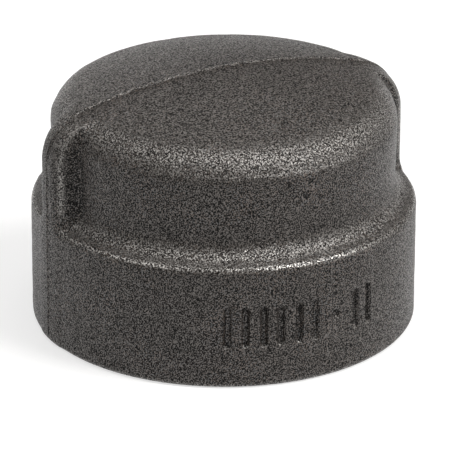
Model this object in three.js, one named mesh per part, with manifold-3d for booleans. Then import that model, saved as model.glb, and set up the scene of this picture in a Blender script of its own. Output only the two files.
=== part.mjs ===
// Pipe cap: a one-piece malleable-iron casting with an internal taper pipe thread.
// Millimetres. The origin is the centre of the mouth face, +Z points to the crown, and the mould's
// parting plane is y = 0, so the two grip ribs stand at +X and -X.

import * as THREE from "three";
import { mergeVertices } from "three/addons/utils/BufferGeometryUtils.js";
import Module from "manifold-3d";

const wasm = await Module();
wasm.setup();

const { clamp, degToRad, lerp } = THREE.MathUtils;

// Outside of the casting.
const HEIGHT = 34;
const BAND_RADIUS = 25;
const BAND_WALL_TOP = 15.5; // where the band's wall starts to round over
const BAND_EDGE_RADIUS = 1.15;
const STEP_SLOPE = degToRad(64); // slope of the step from band to neck, where it is steepest
const STEP_COVE_RADIUS = 3;
const NECK_FOOT_RADIUS = 22.2;
const NECK_TOP_RADIUS = 22.4;
const MOUTH_EDGE_RADIUS = 0.8; // between the machined end face and the band
const CROWN_FILLET = 5;
const CROWN_DOME = 75.4; // sphere radius of the top
const CROWN_DRAFT = 0.04; // fall of the crown for each millimetre from the parting plane
const DRAFT_FADE = 2; // height over which that fall fades out at the neck

// The two grip ribs. They run on down the band as a swell 0.2 high.
const RIB_RADIUS = 25.2;
const RIB_TOP_FILLET = 7;
const RIB_FLAT = 0.8; // half-width of the rib before its sides round over
const RIB_NOSE = 2.3; // radius of the rounded sides
const RIB_ROOT = 1.25; // radius of the cove between rib and neck
const RIB_SLOPE = degToRad(70); // steepest slope of the rib's sides

// The 1-11.5 NPT internal thread, and the cored chamber behind it.
const PITCH = 25.4 / 11.5;
const PITCH_RADIUS = 31.46 / 2; // at the mouth face
const TAPER = 1 / 32; // radius lost for each millimetre of depth
const THREAD_LENGTH = 19.05;
const THREAD_FLAT = 0.12; // width of the flattened crests and roots
const FLANK = Math.tan(degToRad(30));
const THREAD_DEPTH = (PITCH - 2 * THREAD_FLAT) / (2 * FLANK);
const MOUTH_RADIUS = 17.3; // outer edge of the 45 degree countersink
const CHAMBER_RADIUS = 17;
const CHAMBER_CORNER = 4.5;
const CHAMBER_TOP = 28.7;
const CHAMBER_DOME = 60; // sphere radius of the chamber's end

// Tally marks sunk in the front of the band: pairs of upright strokes, and one round pip.
const MARK_HEIGHT = 5.6;
const MARK_WIDTH = 0.85;
const MARK_SINK = 0.5;
const MARK_CENTRE = 8.4; // height of their middles above the mouth face
const PAIR_SPREAD = 2.6; // degrees from the middle of a pair to each of its strokes
const PAIRS_AT = [-22.5, -11.8, -1.1, 18.5]; // degrees from -Y towards +X
const PIP_AT = 8.7;
const PIP_WIDTH = 1.25;

// Fineness of the faceted solid.
const RIB_STEPS = 7; // columns across half a rib
const SIDE_STEPS = 12; // columns over the rest of a quarter turn
const EDGE_STEPS = 3; // rows over the rounded edges of the band
const COVE_STEPS = 4;
const FILLET_STEPS = 6; // rows over the fillet of a dome
const DOME_STEPS = 4; // rows over the dome itself
const BORE_SIDES = 36; // sides of the bore, and steps in one turn of the thread
const STROKE_END_STEPS = 4; // facets in each quarter turn of a stroke's round end
const OVERCUT = 1; // how far a cutting solid runs past what it cuts
const OVERLAP = 0.05; // how far the thread's flanks run on inside the bore's wall
const WELD = 1e-4; // points closer than this are one point

/** Points of an arc in the r-z half plane, with both of its ends. */
function arc(r, z, radius, from, to, steps) {
  const points = [];
  for (let i = 0; i <= steps; i++) {
    const a = lerp(from, to, i / steps);
    points.push(new THREE.Vector2(r + radius * Math.cos(a), z + radius * Math.sin(a)));
  }
  return points;
}

/** Height of the centre of the fillet that rolls a dome over onto a wall. */
function filletHeight(top, dome, fillet, wallRadius) {
  return top - dome + Math.sqrt((dome - fillet) ** 2 - (wallRadius - fillet) ** 2);
}

/** That fillet and dome, from the top of the wall up to the axis. */
function crownArcs(top, dome, fillet, wallRadius) {
  const z = filletHeight(top, dome, fillet, wallRadius);
  const join = Math.atan2(z - (top - dome), wallRadius - fillet);
  const domeArc = arc(0, top - dome, dome, join, Math.PI / 2, DOME_STEPS);
  return [
    ...arc(wallRadius - fillet, z, fillet, 0, join, FILLET_STEPS),
    ...domeArc.slice(1, -1),
    new THREE.Vector2(0, top),
  ];
}

/** Outline of the mouth face, the band and the step up to the neck: edge, straight flank and cove. */
function bandProfile() {
  const edgeReach = BAND_EDGE_RADIUS * (1 - Math.cos(STEP_SLOPE));
  const coveReach = STEP_COVE_RADIUS * (1 - Math.cos(STEP_SLOPE));
  const flankReach = BAND_RADIUS - NECK_FOOT_RADIUS - edgeReach - coveReach;
  const curvedRise = (BAND_EDGE_RADIUS + STEP_COVE_RADIUS) * Math.sin(STEP_SLOPE);
  const neckFoot = BAND_WALL_TOP + curvedRise + flankReach / Math.tan(STEP_SLOPE);
  const mouthEdge = BAND_RADIUS - MOUTH_EDGE_RADIUS;
  const bandEdge = BAND_RADIUS - BAND_EDGE_RADIUS;
  const cove = NECK_FOOT_RADIUS + STEP_COVE_RADIUS;
  return [
    new THREE.Vector2(0, 0),
    ...arc(mouthEdge, MOUTH_EDGE_RADIUS, MOUTH_EDGE_RADIUS, -Math.PI / 2, 0, EDGE_STEPS),
    ...arc(bandEdge, BAND_WALL_TOP, BAND_EDGE_RADIUS, 0, STEP_SLOPE, EDGE_STEPS),
    ...arc(cove, neckFoot, STEP_COVE_RADIUS, Math.PI + STEP_SLOPE, Math.PI, COVE_STEPS),
  ];
}

/** How much of the rib's height is left at this distance from the parting plane, from 1 to 0. */
function ribShare(distance) {
  const nose = RIB_NOSE * Math.sin(RIB_SLOPE);
  const width = (RIB_NOSE + RIB_ROOT) * Math.sin(RIB_SLOPE);
  const drop = (RIB_NOSE + RIB_ROOT) * (1 - Math.cos(RIB_SLOPE));
  const t = clamp(distance - RIB_FLAT, 0, width);
  if (t < nose) return 1 - (RIB_NOSE - Math.sqrt(RIB_NOSE ** 2 - t ** 2)) / drop;
  return (RIB_ROOT - Math.sqrt(RIB_ROOT ** 2 - (width - t) ** 2)) / drop;
}

/** Angle of a column of the skin, from -Y towards +X: columns crowd together where they cross a rib. */
function columnAngle(column) {
  const perQuarter = RIB_STEPS + SIDE_STEPS;
  const quarter = Math.floor(column / perQuarter);
  const beforeRib = quarter % 2 === 0;
  const along = column % perQuarter;
  const fromRib = beforeRib ? perQuarter - along : along;
  const ribWidth = RIB_FLAT + (RIB_NOSE + RIB_ROOT) * Math.sin(RIB_SLOPE);
  const ribAngle = Math.asin(ribWidth / BAND_RADIUS);
  const angle =
    fromRib <= RIB_STEPS
      ? (ribAngle * fromRib) / RIB_STEPS
      : lerp(ribAngle, Math.PI / 2, (fromRib - RIB_STEPS) / SIDE_STEPS);
  const ribAt = quarter < 2 ? Math.PI / 2 : 1.5 * Math.PI;
  return beforeRib ? ribAt - angle : ribAt + angle;
}

/** A lathe turned about +Z, from a profile that runs upwards from axis to axis. */
function lathe(profile, sides) {
  return new THREE.LatheGeometry(profile, sides).rotateX(Math.PI / 2);
}

/** The whole outside: a lathe whose columns bulge out to the rib's outline near the parting plane. */
function outerSkin() {
  const band = bandProfile();
  const body = [...band, ...crownArcs(HEIGHT, CROWN_DOME, CROWN_FILLET, NECK_TOP_RADIUS)];
  const swell = RIB_RADIUS / BAND_RADIUS;
  const rib = [
    ...band.map((p) => new THREE.Vector2(p.y > BAND_WALL_TOP ? RIB_RADIUS : p.x * swell, p.y)),
    ...crownArcs(HEIGHT, CROWN_DOME, RIB_TOP_FILLET, RIB_RADIUS),
  ];
  const crownFoot = filletHeight(HEIGHT, CROWN_DOME, CROWN_FILLET, NECK_TOP_RADIUS);
  const columns = 4 * (RIB_STEPS + SIDE_STEPS);
  const skin = lathe(body, columns);
  const position = skin.getAttribute("position");
  for (let i = 0; i < position.count; i++) {
    const row = i % body.length;
    const angle = columnAngle(Math.floor(i / body.length) % columns);
    const share = ribShare(body[row].x * Math.abs(Math.cos(angle)));
    const r = lerp(body[row].x, rib[row].x, share);
    const z = lerp(body[row].y, rib[row].y, share);
    const fromParting = r * Math.abs(Math.cos(angle));
    const fall = CROWN_DRAFT * fromParting * clamp((z - crownFoot) / DRAFT_FADE, 0, 1);
    position.setXYZ(i, r * Math.sin(angle), -r * Math.cos(angle), z - fall);
  }
  return skin;
}

/** Radius of the thread's crests at a depth behind the mouth face. */
function crestRadius(depth) {
  return PITCH_RADIUS - THREAD_DEPTH / 2 - TAPER * depth;
}

/** The bore before it is threaded: countersink, tapered bore and cored chamber. */
function boreCutter() {
  const countersink = (MOUTH_RADIUS - crestRadius(0)) / (1 - TAPER);
  const relief = (CHAMBER_RADIUS - crestRadius(THREAD_LENGTH)) * FLANK;
  return lathe(
    [
      new THREE.Vector2(0, -OVERCUT),
      new THREE.Vector2(MOUTH_RADIUS + OVERCUT, -OVERCUT),
      new THREE.Vector2(crestRadius(countersink), countersink),
      new THREE.Vector2(crestRadius(THREAD_LENGTH), THREAD_LENGTH),
      new THREE.Vector2(CHAMBER_RADIUS, THREAD_LENGTH + relief),
      ...crownArcs(CHAMBER_TOP, CHAMBER_DOME, CHAMBER_CORNER, CHAMBER_RADIUS),
    ],
    BORE_SIDES,
  );
}

/** The groove of the thread: a bar with the groove's section, wound into a tapered right-hand helix. */
function threadCutter() {
  const start = -PITCH;
  const end = THREAD_LENGTH + PITCH / 2;
  const steps = Math.round(((end - start) / PITCH) * BORE_SIDES);
  const mouthHalf = (PITCH - THREAD_FLAT) / 2 + OVERLAP * FLANK;
  const bar = new THREE.BoxGeometry(1, 1, 1, 2, 1, steps);
  const position = bar.getAttribute("position");
  for (let i = 0; i < position.count; i++) {
    const turn = ((0.5 - position.getZ(i)) * steps) / BORE_SIDES;
    const middle = start + turn * PITCH;
    const level = position.getX(i);
    const crest = crestRadius(middle);
    const atRoot = level > 0;
    const inner = crest - (level < 0 ? OVERCUT : OVERLAP);
    const r = atRoot ? crest + THREAD_DEPTH : inner;
    const width = atRoot ? THREAD_FLAT : 2 * mouthHalf;
    const angle = turn * 2 * Math.PI;
    const z = middle + position.getY(i) * width;
    position.setXYZ(i, r * Math.cos(angle), r * Math.sin(angle), z);
  }
  return bar;
}

/** A round-ended stroke, pushed into the band at an angle from -Y towards +X. */
function strokeCutter(degrees, width, height) {
  const end = width / 2;
  const straight = height / 2 - end;
  const outline = new THREE.Shape();
  outline.absarc(0, straight, end, 0, Math.PI);
  outline.absarc(0, -straight, end, Math.PI, 2 * Math.PI);
  const depth = MARK_SINK + OVERCUT;
  const curveSegments = STROKE_END_STEPS;
  const stroke = new THREE.ExtrudeGeometry(outline, { depth, bevelEnabled: false, curveSegments });
  const angle = degToRad(degrees);
  const outward = new THREE.Vector3(Math.sin(angle), -Math.cos(angle), 0);
  const sideways = new THREE.Vector3(Math.cos(angle), Math.sin(angle), 0);
  const place = new THREE.Matrix4().makeBasis(sideways, new THREE.Vector3(0, 0, 1), outward);
  place.setPosition(outward.multiplyScalar(BAND_RADIUS - MARK_SINK).setZ(MARK_CENTRE));
  return stroke.applyMatrix4(place);
}

/** Every tally mark's cutter. */
function markCutters() {
  const strokes = PAIRS_AT.flatMap((middle) => [
    strokeCutter(middle - PAIR_SPREAD, MARK_WIDTH, MARK_HEIGHT),
    strokeCutter(middle + PAIR_SPREAD, MARK_WIDTH, MARK_HEIGHT),
  ]);
  return [...strokes, strokeCutter(PIP_AT, PIP_WIDTH, PIP_WIDTH)];
}

/** A manifold solid from a closed geometry. */
function solid(geometry) {
  const bare = geometry.clone();
  bare.deleteAttribute("normal");
  bare.deleteAttribute("uv");
  const merged = mergeVertices(bare, WELD);
  const index = merged.index.array;
  const triangles = [];
  for (let i = 0; i < index.length; i += 3) {
    const [a, b, c] = [index[i], index[i + 1], index[i + 2]];
    if (a !== b && b !== c && c !== a) triangles.push(a, b, c);
  }
  const vertProperties = new Float32Array(merged.getAttribute("position").array);
  const triVerts = new Uint32Array(triangles);
  return new wasm.Manifold(new wasm.Mesh({ numProp: 3, vertProperties, triVerts }));
}

/** The casting's geometry: its outside, less the bore, the thread's groove and the marks. */
function castingGeometry() {
  let casting = solid(outerSkin());
  for (const cutter of [boreCutter(), threadCutter(), ...markCutters()]) {
    casting = casting.subtract(solid(cutter));
  }
  const { vertProperties, triVerts } = casting.getMesh();
  const geometry = new THREE.BufferGeometry();
  geometry.setAttribute("position", new THREE.BufferAttribute(vertProperties, 3));
  geometry.setIndex(new THREE.BufferAttribute(triVerts, 1));
  geometry.computeVertexNormals();
  return geometry;
}

const castIron = new THREE.MeshStandardMaterial({
  color: 0x4b4946,
  roughness: 0.62,
  metalness: 0.6,
  flatShading: true,
});

const cap = new THREE.Group();
const body = new THREE.Mesh(castingGeometry(), castIron);
body.name = "cap_body";
cap.add(body);

export default cap;
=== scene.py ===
"""Pipe cap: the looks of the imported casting. Metres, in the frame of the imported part."""

import math

import bpy
import numpy as np
from mathutils import Matrix, Vector, noise


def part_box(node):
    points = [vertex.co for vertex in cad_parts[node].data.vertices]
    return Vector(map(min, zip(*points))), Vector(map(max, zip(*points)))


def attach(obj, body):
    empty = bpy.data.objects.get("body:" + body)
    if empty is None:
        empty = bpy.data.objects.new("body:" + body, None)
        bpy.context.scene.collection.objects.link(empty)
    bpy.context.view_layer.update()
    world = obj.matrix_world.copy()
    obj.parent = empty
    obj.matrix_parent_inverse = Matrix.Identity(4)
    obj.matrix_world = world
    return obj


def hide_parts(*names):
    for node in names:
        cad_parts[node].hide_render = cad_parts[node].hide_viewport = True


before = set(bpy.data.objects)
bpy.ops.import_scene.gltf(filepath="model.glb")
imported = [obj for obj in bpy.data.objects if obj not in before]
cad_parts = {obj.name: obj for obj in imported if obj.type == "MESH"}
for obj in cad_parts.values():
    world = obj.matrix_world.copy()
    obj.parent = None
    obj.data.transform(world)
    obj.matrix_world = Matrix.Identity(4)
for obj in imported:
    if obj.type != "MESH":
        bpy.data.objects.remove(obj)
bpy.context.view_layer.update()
NODE = "cap_body"

MM = 0.001
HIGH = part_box(NODE)[1]

# Outside of the casting, as in the part.
HEIGHT = HIGH.z
BAND_RADIUS = HIGH.y
BAND_WALL_TOP = 15.5 * MM
BAND_EDGE_RADIUS = 1.15 * MM
STEP_SLOPE = math.radians(64)
STEP_COVE_RADIUS = 3 * MM
NECK_FOOT_RADIUS = 22.2 * MM
NECK_TOP_RADIUS = 22.4 * MM
MOUTH_EDGE_RADIUS = 0.8 * MM
CROWN_FILLET = 5 * MM
CROWN_DOME = 75.4 * MM
CROWN_DRAFT = 0.04
DRAFT_FADE = 2 * MM
RIB_RADIUS = HIGH.x
RIB_TOP_FILLET = 7 * MM
RIB_FLAT = 0.8 * MM
RIB_NOSE = 2.3 * MM
RIB_ROOT = 1.25 * MM
RIB_SLOPE = math.radians(70)

# Thread and chamber, as in the part.
PITCH = 25.4 / 11.5 * MM
PITCH_RADIUS = 31.46 / 2 * MM
TAPER = 1 / 32
THREAD_LENGTH = 19.05 * MM
THREAD_FLAT = 0.12 * MM
FLANK = math.tan(math.radians(30))
THREAD_DEPTH = (PITCH - 2 * THREAD_FLAT) / (2 * FLANK)
MOUTH_RADIUS = 17.3 * MM
CHAMBER_RADIUS = 17 * MM
CHAMBER_CORNER = 4.5 * MM
CHAMBER_TOP = 28.7 * MM
CHAMBER_DOME = 60 * MM

# Tally marks, as in the part.
MARK_HEIGHT = 5.6 * MM
MARK_WIDTH = 0.85 * MM
MARK_SINK = 0.5 * MM
MARK_CENTRE = 8.4 * MM
PAIR_SPREAD = 2.6
PAIRS_AT = (-22.5, -11.8, -1.1, 18.5)
PIP_AT = 8.7
MARK_SOFTNESS = 0.16 * MM  # half the width over which a mark's side rounds over

# Fine relief that only the looks have.
CAST_FROM, CAST_FULL = 0.3 * MM, 1.5 * MM  # heights between which the relief sets in above the mouth face
FLASH_HEIGHT = 0.10 * MM
FLASH_WIDTH = 0.16 * MM
MOULD_SHIFT = Vector((-0.06, 0.0, 0.16)) * MM  # of the back half of the mould
SHIFT_BLEND = 0.06 * MM  # distance from the parting plane within which the halves meet
# Size and height of each scale of lump in the skin.
SKIN_LUMPS = ((5.0 * MM, 0.045 * MM), (1.9 * MM, 0.026 * MM), (0.95 * MM, 0.016 * MM))

# Spacing of the columns of the mesh round the casting, and how far from the parting plane it is finer.
PLAIN_SPACE, MARK_SPACE, RIB_SPACE, PARTING_SPACE = 0.46 * MM, 0.16 * MM, 0.28 * MM, 0.11 * MM
RIB_REACH, PARTING_REACH = 4.6 * MM, 0.7 * MM
MARK_MARGIN = 5  # degrees past the outermost marks
# Spacing of the rows up the band, and how far past the marks it is finer.
BAND_ROW, MARK_ROW = 0.36 * MM, 0.2 * MM
MARK_ROW_MARGIN = 0.4 * MM
# Steps over each stretch of the outline.
MOUTH_EDGE_STEPS, EDGE_STEPS, FLANK_STEPS, COVE_STEPS = 6, 6, 3, 12
NECK_STEPS, FILLET_STEPS, DOME_STEPS = 22, 24, 44
FACE_STEPS, BORE_STEPS, RELIEF_STEPS, CHAMBER_CORNER_STEPS, CHAMBER_DOME_STEPS = 5, 13, 5, 12, 20
# Distances from the axis at which the rings lose every second point, over the outside and the inside.
OUTSIDE_THINS = (12 * MM, 6 * MM, 2.5 * MM)
INSIDE_THINS = (BAND_RADIUS - 1 * MM, 8 * MM, 3.5 * MM)
TURN_STEPS = 144  # facets in a turn of the thread
SHARP_ANGLE = math.radians(38)  # faces that meet at more than this have a sharp edge between them

CAST, MACHINED = 0, 1


# ---------------------------------------------------------------- outline

def arc(r, z, radius, start, end, steps):
    """Points of an arc in the r-z half plane, both ends included."""
    a = np.linspace(start, end, steps + 1)
    return np.stack([r + radius * np.cos(a), z + radius * np.sin(a)], 1)


def fillet_height(top, dome, fillet, wall):
    """Height of the centre of the fillet that rolls a dome over onto a wall."""
    return top - dome + math.sqrt((dome - fillet) ** 2 - (wall - fillet) ** 2)


def crown_arcs(top, dome, fillet, wall, fillet_steps, dome_steps):
    """That fillet and dome, from the top of the wall up to the last ring before the axis."""
    z = fillet_height(top, dome, fillet, wall)
    join = math.atan2(z - (top - dome), wall - fillet)
    lower = arc(wall - fillet, z, fillet, 0, join, fillet_steps)
    upper = arc(0, top - dome, dome, join, math.pi / 2, dome_steps)
    return np.concatenate([lower, upper[1:-1]])


def band_profile(wall_rows):
    """The band's wall and rounded edge, then the straight flank and the cove up to the neck."""
    curved = BAND_EDGE_RADIUS + STEP_COVE_RADIUS
    flank_reach = BAND_RADIUS - NECK_FOOT_RADIUS - curved * (1 - math.cos(STEP_SLOPE))
    neck_foot = BAND_WALL_TOP + curved * math.sin(STEP_SLOPE) + flank_reach / math.tan(STEP_SLOPE)
    wall = np.stack([np.full(len(wall_rows), BAND_RADIUS), wall_rows], 1)
    edge = arc(BAND_RADIUS - BAND_EDGE_RADIUS, BAND_WALL_TOP, BAND_EDGE_RADIUS, 0, STEP_SLOPE, EDGE_STEPS)
    middle = NECK_FOOT_RADIUS + STEP_COVE_RADIUS
    cove = arc(middle, neck_foot, STEP_COVE_RADIUS, math.pi + STEP_SLOPE, math.pi, COVE_STEPS)
    flank = np.linspace(edge[-1], cove[0], FLANK_STEPS + 1)[1:-1]
    return np.concatenate([wall, edge, flank, cove])


def rib_share(distance):
    """How much of the rib's height is left at this distance from the parting plane, from 1 to 0."""
    nose = RIB_NOSE * math.sin(RIB_SLOPE)
    width = (RIB_NOSE + RIB_ROOT) * math.sin(RIB_SLOPE)
    drop = (RIB_NOSE + RIB_ROOT) * (1 - math.cos(RIB_SLOPE))
    t = np.clip(distance - RIB_FLAT, 0, width)
    rounded = 1 - (RIB_NOSE - np.sqrt(np.maximum(RIB_NOSE**2 - t**2, 0))) / drop
    hollow = (RIB_ROOT - np.sqrt(np.maximum(RIB_ROOT**2 - (width - t) ** 2, 0))) / drop
    return np.where(t < nose, rounded, hollow)


# ---------------------------------------------------------------- columns and rows

def spread(start, end, spacing):
    """Values from start to end whose steps follow spacing(value), with both ends included and a number
    of steps that can be halved as often as the rings are thinned."""
    samples = 4001
    fine = np.linspace(start, end, samples)
    count = np.concatenate([[0], np.cumsum(np.diff(fine) / spacing((fine[1:] + fine[:-1]) / 2))])
    block = 2 ** len(OUTSIDE_THINS)
    steps = block * math.ceil(count[-1] / block)
    return np.interp(np.linspace(0, count[-1], steps + 1), count, fine)


def column_spacing(angle):
    """Angle between columns: fine over the marks and the ribs, finest along the parting line."""
    across = BAND_RADIUS * np.abs(np.cos(angle))
    space = np.full_like(angle, PLAIN_SPACE)
    first, last = math.radians(min(PAIRS_AT) - MARK_MARGIN), math.radians(max(PAIRS_AT) + MARK_MARGIN)
    space[(angle > first) & (angle < last)] = MARK_SPACE
    space[across < RIB_REACH] = RIB_SPACE
    space[across < PARTING_REACH] = PARTING_SPACE
    return space / BAND_RADIUS


def column_angles():
    """Angles of the columns once round, from the rib at -X, by the front, to the rib at +X and back."""
    quarter = math.pi / 2
    front = spread(-quarter, quarter, column_spacing)
    back = spread(quarter, 3 * quarter, column_spacing)
    return np.concatenate([front[:-1], back[:-1]])


def row_spacing(z):
    """Distance between rows on the band's wall: close together where the marks are."""
    reach = MARK_HEIGHT / 2 + MARK_ROW_MARGIN
    return np.where((z > MARK_CENTRE - reach) & (z < MARK_CENTRE + reach), MARK_ROW, BAND_ROW)


def band_rows():
    """Heights of the rows on the band's wall, short of its top."""
    return spread(MOUTH_EDGE_RADIUS, BAND_WALL_TOP, row_spacing)[:-1]


# ---------------------------------------------------------------- the cast skin

def smooth(value, low, high):
    """0 below low, 1 above high, with a smooth rise between."""
    t = np.clip((value - low) / (high - low), 0, 1)
    return t * t * (3 - 2 * t)


def mark_depth(angle, z):
    """Depth of the tally marks at an angle and height on the band."""
    strokes = [(a + side, MARK_WIDTH, MARK_HEIGHT) for a in PAIRS_AT for side in (-PAIR_SPREAD, PAIR_SPREAD)]
    strokes.append((PIP_AT, 1.5 * MARK_WIDTH, 1.5 * MARK_WIDTH))
    depth = np.zeros(np.broadcast(angle, z).shape)
    for middle, width, height in strokes:
        across = BAND_RADIUS * (angle - math.radians(middle))
        along = np.maximum(np.abs(z - MARK_CENTRE) - (height - width) / 2, 0)
        inside = width / 2 - np.hypot(across, along)
        depth = np.maximum(depth, MARK_SINK * smooth(inside, -MARK_SOFTNESS, MARK_SOFTNESS))
    return depth


def outer_rings(angles):
    """The outside of the casting as rings of points, from the band's foot to just short of the axis."""
    edge = MOUTH_EDGE_RADIUS
    mouth_edge = arc(BAND_RADIUS - edge, edge, edge, -math.pi / 2, 0, MOUTH_EDGE_STEPS)
    band = np.concatenate([mouth_edge[:-1], band_profile(band_rows())])
    neck_foot = band[-1]
    body_crown = crown_arcs(HEIGHT, CROWN_DOME, CROWN_FILLET, NECK_TOP_RADIUS, FILLET_STEPS, DOME_STEPS)
    rib_crown = crown_arcs(HEIGHT, CROWN_DOME, RIB_TOP_FILLET, RIB_RADIUS, FILLET_STEPS, DOME_STEPS)
    climb = np.linspace(0, 1, NECK_STEPS + 1)[1:-1, None]
    body = np.concatenate([band, neck_foot + climb * (body_crown[0] - neck_foot), body_crown])
    swelled = np.where(band[:, 1] > BAND_WALL_TOP, RIB_RADIUS, band[:, 0] * RIB_RADIUS / BAND_RADIUS)
    rib_band = np.stack([swelled, band[:, 1]], 1)
    rib_foot = rib_band[-1]
    rib = np.concatenate([rib_band, rib_foot + climb * (rib_crown[0] - rib_foot), rib_crown])

    cosine = np.abs(np.cos(angles))[None]
    share = rib_share(body[:, :1] * cosine)
    r = body[:, :1] + share * (rib[:, :1] - body[:, :1])
    z = body[:, 1:] + share * (rib[:, 1:] - body[:, 1:])
    crown_foot = fillet_height(HEIGHT, CROWN_DOME, CROWN_FILLET, NECK_TOP_RADIUS)
    z = z - CROWN_DRAFT * r * cosine * np.clip((z - crown_foot) / DRAFT_FADE, 0, 1)
    r = r - mark_depth(angles[None], z)
    return np.stack([r * np.sin(angles), -r * np.cos(angles), z], 2)


def relief(points, normals):
    """Moves the cast skin's points as sand moulding leaves them: the back half of the mould a little off
    the front half, a thread of flash along the parting line, and gentle lumps."""
    y, z = points[:, 1], points[:, 2]
    cast = smooth(z, CAST_FROM, CAST_FULL)
    flash = FLASH_HEIGHT * np.exp(-((y / FLASH_WIDTH) ** 2))
    lumps = np.array([
        sum(a * noise.noise(Vector(p) / size) for size, a in SKIN_LUMPS) for p in points.tolist()
    ])
    shift = smooth(y, -SHIFT_BLEND, SHIFT_BLEND)[:, None] * np.array(MOULD_SHIFT)
    return points + cast[:, None] * (shift + normals * (flash + lumps)[:, None])


# ---------------------------------------------------------------- mesh

class Skin:
    """Rings of vertices joined into one closed surface."""

    def __init__(self):
        self.points, self.faces, self.finish, self.count = [], [], [], 0

    def ring(self, points):
        """Adds a ring of vertices and returns their numbers."""
        self.points.append(np.asarray(points))
        self.count += len(points)
        return np.arange(self.count - len(points), self.count)

    def join(self, first, second, finish, inward=False):
        """Faces from one ring to the next, which has as many points or half as many."""
        a, b = first, np.roll(first, -1)
        if len(second) == len(first):
            c, d = np.roll(second, -1), second
            faces = np.stack([a, b, c, d], 1).tolist()
        else:
            a, b, c = first[0::2], first[1::2], np.roll(first[0::2], -1)
            d, e = np.roll(second, -1), second
            faces = np.concatenate([np.stack(t, 1) for t in ((a, b, e), (b, d, e), (b, c, d))]).tolist()
        self.add(faces, finish, inward)

    def cap(self, ring, point, finish, inward=False):
        """Closes a ring on a single point."""
        tip = self.ring([point])[0]
        self.add([[a, b, tip] for a, b in zip(ring.tolist(), np.roll(ring, -1).tolist())], finish, inward)

    def add(self, faces, finish, inward):
        self.faces += [f[::-1] for f in faces] if inward else faces
        self.finish += [finish] * len(faces)

    def mesh(self, name):
        mesh = bpy.data.meshes.new(name)
        mesh.from_pydata(np.concatenate(self.points).tolist(), [], self.faces)
        mesh.polygons.foreach_set("material_index", self.finish)
        mesh.update()
        return mesh


def thinned(ring, radius, limits):
    """The ring with every second point left out once for each limit that its radius is under."""
    for limit in limits:
        if radius < limit:
            ring = ring[::2]
    return ring


def crest_radius(depth):
    """Radius of the thread's crests at a depth behind the mouth face."""
    return PITCH_RADIUS - THREAD_DEPTH / 2 - TAPER * depth


def inner_profile():
    """From the mouth face in to just short of the axis, in two parts: the machined face and bore, then the
    cored relief and chamber."""
    countersink = (MOUTH_RADIUS - crest_radius(0)) / (1 - TAPER)
    relief_rise = (CHAMBER_RADIUS - crest_radius(THREAD_LENGTH)) * FLANK
    first_ring = BAND_RADIUS - MOUTH_EDGE_RADIUS - 0.4 * MM
    face = np.linspace(first_ring, MOUTH_RADIUS, FACE_STEPS + 1)
    bore_foot = np.array([crest_radius(countersink), countersink])
    bore_top = np.array([crest_radius(THREAD_LENGTH), THREAD_LENGTH])
    chamber_foot = np.array([CHAMBER_RADIUS, THREAD_LENGTH + relief_rise])
    bore = np.linspace(bore_foot, bore_top, BORE_STEPS + 1)
    relief_rows = np.linspace(bore_top, chamber_foot, RELIEF_STEPS + 1)[1:]
    chamber = crown_arcs(
        CHAMBER_TOP, CHAMBER_DOME, CHAMBER_CORNER, CHAMBER_RADIUS, CHAMBER_CORNER_STEPS, CHAMBER_DOME_STEPS
    )
    machined = np.concatenate([np.stack([face, 0 * face], 1), bore])
    return machined, np.concatenate([relief_rows, chamber])


def casting_mesh():
    """The whole casting with a plain tapered bore."""
    angles = column_angles()
    skin = Skin()
    rings = outer_rings(angles)
    foot = skin.ring(rings[0])
    last = foot
    for points in rings[1:]:
        radius = np.hypot(points[0, 0], points[0, 1])
        ring = skin.ring(thinned(points, radius, OUTSIDE_THINS))
        skin.join(last, ring, CAST)
        last = ring
    skin.cap(last, (0, 0, HEIGHT), CAST)

    last = foot
    machined, cored = inner_profile()
    for profile, finish in ((machined, MACHINED), (cored, CAST)):
        for r, z in profile:
            circle = np.stack([r * np.sin(angles), -r * np.cos(angles), np.full_like(angles, z)], 1)
            ring = skin.ring(thinned(circle, r, INSIDE_THINS))
            skin.join(last, ring, finish, inward=True)
            last = ring
    skin.cap(last, (0, 0, CHAMBER_TOP), CAST, inward=True)
    return skin.mesh("casting")


def roughen(mesh):
    """Gives the cast faces their relief; the machined ones stay true."""
    count = len(mesh.vertices)
    points, normals = np.empty(3 * count), np.empty(3 * count)
    mesh.vertices.foreach_get("co", points)
    mesh.vertex_normals.foreach_get("vector", normals)
    points, normals = points.reshape(-1, 3), normals.reshape(-1, 3)
    machined = np.zeros(count, bool)
    for face in mesh.polygons:
        if face.material_index == MACHINED:
            machined[list(face.vertices)] = True
    moved = np.where(machined[:, None], points, relief(points, normals))
    mesh.vertices.foreach_set("co", moved.ravel())
    mesh.update()


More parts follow.
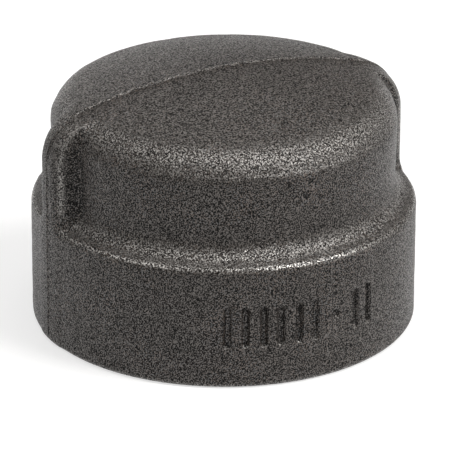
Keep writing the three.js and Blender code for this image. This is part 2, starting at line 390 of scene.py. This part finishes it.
def thread_cutter_mesh():
    """The thread's groove: a bar with the groove's section, wound into a tapered right-hand helix. Its faces
    look inwards, so a cut with it leaves the bore's wall standing over the groove."""
    start, end = -PITCH, THREAD_LENGTH + PITCH / 2
    turns = np.arange(round((end - start) / PITCH * TURN_STEPS) + 1) / TURN_STEPS
    middle = start + turns * PITCH
    crest = crest_radius(middle)
    overlap, inside = 0.05 * MM, 1 * MM
    mouth = (PITCH - THREAD_FLAT) / 2 + overlap * FLANK
    section = (
        (-inside, -mouth), (-overlap, -mouth), (THREAD_DEPTH, -THREAD_FLAT / 2),
        (THREAD_DEPTH, THREAD_FLAT / 2), (-overlap, mouth), (-inside, mouth),
    )
    rails = []
    for out, up in section:
        r, angle = crest + out, turns * 2 * math.pi
        rails.append(np.stack([r * np.cos(angle), r * np.sin(angle), middle + up], 1))
    points = np.stack(rails, 1).reshape(-1, 3)
    n = len(section)
    faces = [
        [k * n + i, k * n + (i + 1) % n, (k + 1) * n + (i + 1) % n, (k + 1) * n + i]
        for k in range(len(turns) - 1) for i in range(n)
    ]
    last = (len(turns) - 1) * n
    faces += [list(range(n))[::-1], [last + i for i in range(n)]]
    mesh = bpy.data.meshes.new("thread_cutter")
    mesh.from_pydata(points.tolist(), [], faces)
    mesh.polygons.foreach_set("material_index", [MACHINED] * len(faces))
    mesh.update()
    return mesh


def placed(name, mesh, materials):
    """An object in the scene that wears these materials."""
    for material in materials:
        mesh.materials.append(material)
    thing = bpy.data.objects.new(name, mesh)
    bpy.context.scene.collection.objects.link(thing)
    return thing


def cut(thing, cutter):
    """Cuts one closed mesh, whose faces look outwards, out of another, and takes the cutter away."""
    modifier = thing.modifiers.new("cut", "BOOLEAN")
    modifier.operation = "DIFFERENCE"
    modifier.solver = "MANIFOLD"
    modifier.object = cutter
    graph = bpy.context.evaluated_depsgraph_get()
    result = bpy.data.meshes.new_from_object(thing.evaluated_get(graph))
    thing.modifiers.clear()
    thing.data = result
    bpy.data.objects.remove(cutter)


def build_cap(materials):
    """The whole cap as one piece: the casting and the thread's groove, which the bore's wall still covers."""
    mesh = casting_mesh()
    roughen(mesh)
    cap = placed("threaded_pipe_cap", mesh, materials)
    cut(cap, placed("thread_cutter", thread_cutter_mesh(), materials))
    cap.data.shade_smooth()
    cap.data.set_sharp_from_angle(angle=SHARP_ANGLE)
    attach(cap, "root")
    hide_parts(NODE)


# ---------------------------------------------------------------- materials

# Sizes of the features of the cast skin.
GRAIN = 0.2 * MM
SPECK = 0.16 * MM
CROWN_SPECK = 0.22 * MM
LUMP = 0.5 * MM
LUMP_SHARE = 0.8  # height of the lumps against the grain's
PATCH = 6 * MM
# Height of the grain where the skin stands upright and where it lies level, and what wear leaves of it.
UPRIGHT_RELIEF = 0.07 * MM
LEVEL_RELIEF = 0.2 * MM
WORN_RELIEF = 0.4
CROWN_LEAN = (0.85, 0.95)  # rise of the surface's normal over which the crown's own specks take over

# Levels of the noise from which specks start to show, and at which they show in full.
# Under the painted shade in the hollows and the marks, specks start and show in full at higher levels.
LIT_SPECKS, SHADED_SPECKS, CROWN_SPECKS = (0.41, 0.67), (0.50, 0.72), (0.37, 0.66)
# The first pair is for bare metal on the worn corner and for the painted highlight on the slopes.
BARE_AND_SHEEN_SPECKS, EDGE_SPECKS, RUSTY_SPECKS = (0.48, 0.62), (0.36, 0.60), (0.40, 0.60)

PIT_COLOUR = (0.008, 0.0076, 0.0072, 1)
COOL_SCALE = (0.063, 0.062, 0.062, 1)
RUSTY_SCALE = (0.093, 0.067, 0.051, 1)
BROWN_PATCH = (0.069, 0.058, 0.050, 1)
# Worn bare metal, also the colour of the painted highlight on the slopes.
BARE_METAL_AND_SHEEN = (0.42, 0.406, 0.385, 1)
MACHINED_DARK = (0.20, 0.193, 0.185, 1)
MACHINED_LIGHT = (0.32, 0.312, 0.302, 1)

# Spacing and height of the tool's rings on the machined faces, and the size of their stains.
FEED = 0.12 * MM
FEED_RELIEF = 0.02 * MM
STAIN = 2.5 * MM

# Radius and height of the corner at the top of the band.
CORNER_ANGLE = math.radians(40)
CORNER_RADIUS = BAND_RADIUS - BAND_EDGE_RADIUS * (1 - math.cos(CORNER_ANGLE))
CORNER_HEIGHT = BAND_WALL_TOP + BAND_EDGE_RADIUS * math.sin(CORNER_ANGLE)
# Distances from the parting plane.
RIB_EDGE = 2.5 * MM
RIB_HOLLOW = 3.4 * MM


class Nodes:
    """A small helper that adds and links shader nodes."""

    def __init__(self, name):
        self.material = bpy.data.materials.new(name)
        self.material.use_nodes = True
        self.tree = self.material.node_tree
        self.shader = next(n for n in self.tree.nodes if n.type == "BSDF_PRINCIPLED")

    def add(self, kind, inputs=None, **settings):
        node = self.tree.nodes.new("ShaderNode" + kind)
        for key, value in settings.items():
            setattr(node, key, value)
        for key, value in (inputs or {}).items():
            self.feed(node.inputs[key], value)
        return node

    def feed(self, socket, value):
        if isinstance(value, bpy.types.NodeSocket):
            self.tree.links.new(value, socket)
        else:
            socket.default_value = value

    def math(self, operation, *values):
        """The result of one operation on numbers or sockets."""
        node = self.add("Math", operation=operation)
        for socket, value in zip(node.inputs, values):
            self.feed(socket, value)
        return node.outputs[0]

    def noise(self, vector, size, detail=2.0, roughness=0.5):
        """Noise whose features are about this size in metres, from 0 to 1."""
        inputs = {"Vector": vector, "Scale": 1 / size, "Detail": detail, "Roughness": roughness}
        return self.add("TexNoise", inputs).outputs["Fac"]

    def shifted(self, vector, way):
        """The same place moved by so many metres along each axis, for a noise of its own."""
        return self.add("VectorMath", {0: vector, 1: (way, way, way)}, operation="ADD").outputs["Vector"]

    def split(self, vector):
        return self.add("SeparateXYZ", {"Vector": vector}).outputs

    def from_axis(self, vector):
        """Distance from the thread's axis and height above the mouth."""
        x, y, z = self.split(vector)
        square = self.math("ADD", self.math("MULTIPLY", x, x), self.math("MULTIPLY", y, y))
        return self.math("SQRT", square), z

    def from_parting(self, vector):
        """Distance from the parting plane, which runs through both ribs."""
        return self.math("ABSOLUTE", self.split(vector)[1])

    def near(self, value, middle, full, reach):
        """1 up to the full distance from the middle value, falling to 0 where the reach ends."""
        away = self.math("ABSOLUTE", self.math("SUBTRACT", value, middle))
        return self.range(away, full, reach, 1.0, 0.0)

    def specks(self, vector, seed, size, levels, strength=1.0):
        """Specks of about this size, from 0 to their strength between the two levels of their noise."""
        return self.range(self.noise(self.shifted(vector, seed), size, 0), *levels, 0.0, strength)

    def mix(self, share, a, b):
        """One colour, the other, or a blend of both."""
        node = self.add("Mix", data_type="RGBA")
        self.feed(node.inputs["Factor"], share)
        self.feed(node.inputs[6], a)
        self.feed(node.inputs[7], b)
        return node.outputs[2]

    def range(self, value, low, high, to_low, to_high):
        """The value carried from one range to another, and held at its ends."""
        inputs = {"Value": value, "From Min": low, "From Max": high, "To Min": to_low, "To Max": to_high}
        return self.add("MapRange", inputs).outputs["Result"]


def at_corner(n, place):
    """1 on the corner at the top of the band, falling to 0 beside it."""
    radius, z = n.from_axis(place)
    across = n.math("SUBTRACT", radius, CORNER_RADIUS)
    along = n.math("SUBTRACT", z, CORNER_HEIGHT)
    gap = n.add("CombineXYZ", {"X": across, "Y": along}).outputs["Vector"]
    distance = n.add("VectorMath", {0: gap}, operation="LENGTH").outputs["Value"]
    return n.near(distance, 0.0, 0.15 * MM, 0.5 * MM)


def on_neck(n, place):
    """1 on the neck's wall and its ribs, 0 on the band below and the crown above."""
    radius, z = n.from_axis(place)
    outside = n.range(radius, NECK_TOP_RADIUS - 1.4 * MM, NECK_TOP_RADIUS - 0.4 * MM, 0.0, 1.0)
    above = n.range(z, BAND_WALL_TOP + 2 * MM, BAND_WALL_TOP + 4 * MM, 0.0, 1.0)
    return n.math("MULTIPLY", outside, above)


def on_slope(n, lean):
    """1 where the skin slopes at 45 degrees, falling to 0 where it is upright or level."""
    level = n.math("MULTIPLY", lean, lean)
    return n.math("MULTIPLY", n.math("MULTIPLY", level, 4.0), n.math("SUBTRACT", 1.0, level))


def rubbed_and_sheen(n, place, lean, corner):
    """Bare metal where tumbling has rubbed the oxide thin at the band's corner and along the ribs' edges, and
    a painted highlight of the same bright grains on slopes, where the lamps' highlights fall.
    """
    parting = n.from_parting(place)
    # Painted highlight: grains brighter on slopes near 45 degrees, where the lamps' highlights fall.
    slope = n.math("MULTIPLY", on_slope(n, lean), n.range(parting, 0.2 * MM, 0.6 * MM, 0.5, 0.85))
    bare_and_sheen = n.math("MULTIPLY", n.math("MAXIMUM", slope, corner), n.specks(place, 3, GRAIN, BARE_AND_SHEEN_SPECKS))
    rib = n.math("MULTIPLY", n.near(parting, RIB_EDGE, 0.1 * MM, 0.5 * MM), on_neck(n, place))
    edge = n.math("MULTIPLY", rib, n.specks(place, 4, GRAIN, EDGE_SPECKS, 0.8))
    return n.math("MAXIMUM", bare_and_sheen, edge)


def painted_hollow_shade(n, place):
    """Painted shade: darker, duller skin in the hollows beside the ribs and, at half strength, inside the
    marks.
    """
    radius, z = n.from_axis(place)
    beside = n.near(n.from_parting(place), RIB_HOLLOW, 0.5 * MM, 1.4 * MM)
    hollow = n.math("MULTIPLY", beside, on_neck(n, place))
    sunk = n.range(radius, BAND_RADIUS - 0.35 * MM, BAND_RADIUS - 0.1 * MM, 1.0, 0.0)
    mark = n.math("MULTIPLY", sunk, n.near(z, MARK_CENTRE, MARK_HEIGHT / 2, MARK_HEIGHT))
    return n.math("MAXIMUM", hollow, n.math("MULTIPLY", mark, 0.5))


def cast_iron():
    """Sand-cast skin under black oxide: dull pits between glinting sand grains, warm and cool patches, bare
    metal on worn edges, painted shade in the hollows and a painted highlight on the slopes.
    """
    n = Nodes("cast_iron_skin")
    coordinates = n.add("TexCoord").outputs
    place = coordinates["Object"]
    lean = n.split(coordinates["Normal"])[2]
    corner = at_corner(n, place)
    rub_and_sheen = rubbed_and_sheen(n, place, lean, corner)
    hollow_shade = painted_hollow_shade(n, place)

    height = n.math("ADD", n.noise(place, GRAIN, 1), n.math("MULTIPLY", n.noise(place, LUMP), LUMP_SHARE))
    depth = n.range(lean, 0.2, 1.0, UPRIGHT_RELIEF, LEVEL_RELIEF)
    depth = n.math("MULTIPLY", depth, n.range(corner, 0.0, 1.0, 1.0, WORN_RELIEF))
    bump = n.add("Bump", {"Strength": 1.0, "Distance": depth, "Height": height})

    # Fewer specks show under the painted shade.
    levels = [n.range(hollow_shade, 0.0, 1.0, unshaded, shaded) for unshaded, shaded in zip(LIT_SPECKS, SHADED_SPECKS)]
    wall_specks = n.specks(place, 1, SPECK, levels)
    crown_specks = n.specks(place, 5, CROWN_SPECK, CROWN_SPECKS)
    skin_specks = n.range(n.range(lean, *CROWN_LEAN, 0.0, 1.0), 0.0, 1.0, wall_specks, crown_specks)
    # The worn edges and the slopes' painted highlight join the specks, at half strength under the painted
    # shade.
    lit = n.math("MAXIMUM", skin_specks, n.math("MULTIPLY", rub_and_sheen, n.range(hollow_shade, 0.0, 1.0, 1.0, 0.5)))

    metal = n.mix(n.specks(place, 2, GRAIN, RUSTY_SPECKS), COOL_SCALE, RUSTY_SCALE)
    metal = n.mix(n.range(n.noise(place, PATCH), 0.35, 0.65, 0.0, 1.0), metal, BROWN_PATCH)
    # Bare metal on the worn corner and rib edges; on the slopes the same colour is a painted highlight.
    metal = n.mix(rub_and_sheen, metal, BARE_METAL_AND_SHEEN)
    n.feed(n.shader.inputs["Base Color"], n.mix(lit, PIT_COLOUR, metal))
    n.feed(n.shader.inputs["Metallic"], n.math("MULTIPLY", rub_and_sheen, 0.6))
    n.feed(n.shader.inputs["Roughness"], n.range(lit, 0.0, 1.0, 0.5, 0.3))
    n.feed(n.shader.inputs["Specular IOR Level"], n.range(lit, 0.0, 1.0, 0.06, 0.9))
    n.feed(n.shader.inputs["Normal"], bump.outputs["Normal"])
    return n.material


def machined_iron():
    """Bare iron as the tap and the facing tool leave it: fine rings round the axis."""
    n = Nodes("machined_iron")
    place = n.add("TexCoord").outputs["Object"]
    radius, z = n.from_axis(place)
    rings = n.add("CombineXYZ", {"X": radius, "Y": z}).outputs["Vector"]
    feed = n.noise(rings, FEED, 2, 0.6)
    stain = n.range(n.noise(place, STAIN, 4, 0.6), 0.35, 0.65, 0.0, 1.0)
    bump = n.add("Bump", {"Strength": 0.6, "Distance": FEED_RELIEF, "Height": feed})
    n.feed(n.shader.inputs["Base Color"], n.mix(stain, MACHINED_DARK, MACHINED_LIGHT))
    n.feed(n.shader.inputs["Roughness"], n.range(feed, 0.3, 0.7, 0.28, 0.45))
    n.feed(n.shader.inputs["Normal"], bump.outputs["Normal"])
    n.shader.inputs["Metallic"].default_value = 0.9
    return n.material


def pale_floor():
    """A pale sheet with a little light of its own, like a light table, so that shadows stay faint."""
    n = Nodes("pale_floor")
    n.shader.inputs["Base Color"].default_value = (0.45, 0.45, 0.45, 1)
    n.shader.inputs["Roughness"].default_value = 0.9
    n.shader.inputs["Emission Color"].default_value = (1, 1, 1, 1)
    n.shader.inputs["Emission Strength"].default_value = 0.62
    return n.material


# ---------------------------------------------------------------- stage

AIM_HEIGHT = 17.5 * MM
CAMERA_AZIMUTH = math.radians(-26.3)
CAMERA_ELEVATION = math.radians(23.06)
CAMERA_DISTANCE = 0.5956
CAMERA_ROLL = math.radians(-0.23)
FOCAL_LENGTH, SENSOR_WIDTH = 366.5, 36  # millimetres
# How far beside the target the camera aims.
AIM_BELOW = 5.29 * MM
AIM_RIGHT = 0.15 * MM
FLOOR_HALF = 3.0
# Brightness of the room at the horizon and above it, and the heights between which it falls.
HORIZON_LIGHT, ROOM_LIGHT = 0.64, 0.04
FADE_FROM, FADE_TO = 0.03, 0.08
LAMP_COLOUR = (1.0, 0.985, 0.97)
LAMP_DISTANCE = 1.2


def direction(azimuth, elevation):
    """Unit vector to a place seen at an azimuth from -Y towards +X, and an elevation."""
    flat = math.cos(elevation)
    return Vector((flat * math.sin(azimuth), -flat * math.cos(azimuth), math.sin(elevation)))


def add_camera():
    """The camera, placed round the target, then turned a little off it and rolled."""
    target = Vector((0, 0, AIM_HEIGHT))
    back = direction(CAMERA_AZIMUTH, CAMERA_ELEVATION)
    right = Vector((math.cos(CAMERA_AZIMUTH), math.sin(CAMERA_AZIMUTH), 0))
    up = back.cross(right)
    place = target + back * CAMERA_DISTANCE
    back = (place - (target - up * AIM_BELOW + right * AIM_RIGHT)).normalized()
    right = up.cross(back).normalized()
    up = back.cross(right)
    turn = Matrix.Rotation(-CAMERA_ROLL, 3, back)
    right, up = turn @ right, turn @ up
    data = bpy.data.cameras.new("camera")
    data.lens = FOCAL_LENGTH
    data.sensor_width = SENSOR_WIDTH
    data.clip_start, data.clip_end = 0.01, 20
    camera = bpy.data.objects.new("camera", data)
    camera.matrix_world = Matrix.Translation(place) @ Matrix((right, up, back)).transposed().to_4x4()
    bpy.context.scene.collection.objects.link(camera)
    bpy.context.scene.camera = camera


LIGHTS = {
    # name: azimuth and elevation in degrees, size in metres, power in watts
    "key": (41, 50, 0.5, 12.0),
    "low_right": (46, 14, 0.5, 1.4),
    "left": (-76, 48, 0.5, 2.0),
    "far_left": (-116, 48, 0.5, 1.3),
    "top": (-5, 86, 0.8, 5.4),
    "back": (-190, 12, 0.5, 0.8),
    "back_right": (154, 25, 0.5, 0.8),
}


def add_light(name, azimuth, elevation, size, power):
    """A square soft lamp that faces the cap."""
    data = bpy.data.lights.new(name, "AREA")
    data.size = size
    data.energy = power
    data.color = LAMP_COLOUR
    lamp = bpy.data.objects.new(name, data)
    away = direction(math.radians(azimuth), math.radians(elevation))
    lamp.location = Vector((0, 0, AIM_HEIGHT)) + away * LAMP_DISTANCE
    lamp.rotation_euler = away.to_track_quat("Z", "Y").to_euler()
    bpy.context.scene.collection.objects.link(lamp)


def studio_air():
    """A dim room whose walls are as pale as the far floor where they meet it."""
    world = bpy.data.worlds.new("studio")
    world.use_nodes = True
    nodes, links = world.node_tree.nodes, world.node_tree.links
    coordinates, height = nodes.new("ShaderNodeTexCoord"), nodes.new("ShaderNodeSeparateXYZ")
    fade = nodes.new("ShaderNodeMapRange")
    limits = {"From Min": FADE_FROM, "From Max": FADE_TO, "To Min": HORIZON_LIGHT, "To Max": ROOM_LIGHT}
    for socket, value in limits.items():
        fade.inputs[socket].default_value = value
    links.new(coordinates.outputs["Generated"], height.inputs["Vector"])
    links.new(height.outputs["Z"], fade.inputs["Value"])
    links.new(fade.outputs["Result"], nodes["Background"].inputs["Strength"])
    nodes["Background"].inputs["Color"].default_value = (1, 1, 1, 1)
    return world


def add_stage():
    """The floor, the room round it and the lamps."""
    floor_mesh = bpy.data.meshes.new("floor")
    corners = [(x * FLOOR_HALF, y * FLOOR_HALF, 0) for x, y in ((-1, -1), (1, -1), (1, 1), (-1, 1))]
    floor_mesh.from_pydata(corners, [], [(0, 1, 2, 3)])
    placed("floor", floor_mesh, [pale_floor()])
    bpy.context.scene.world = studio_air()
    for name, settings in LIGHTS.items():
        add_light(name, *settings)
    bpy.context.scene.view_settings.view_transform = "Standard"


add_camera()
build_cap([cast_iron(), machined_iron()])
add_stage()
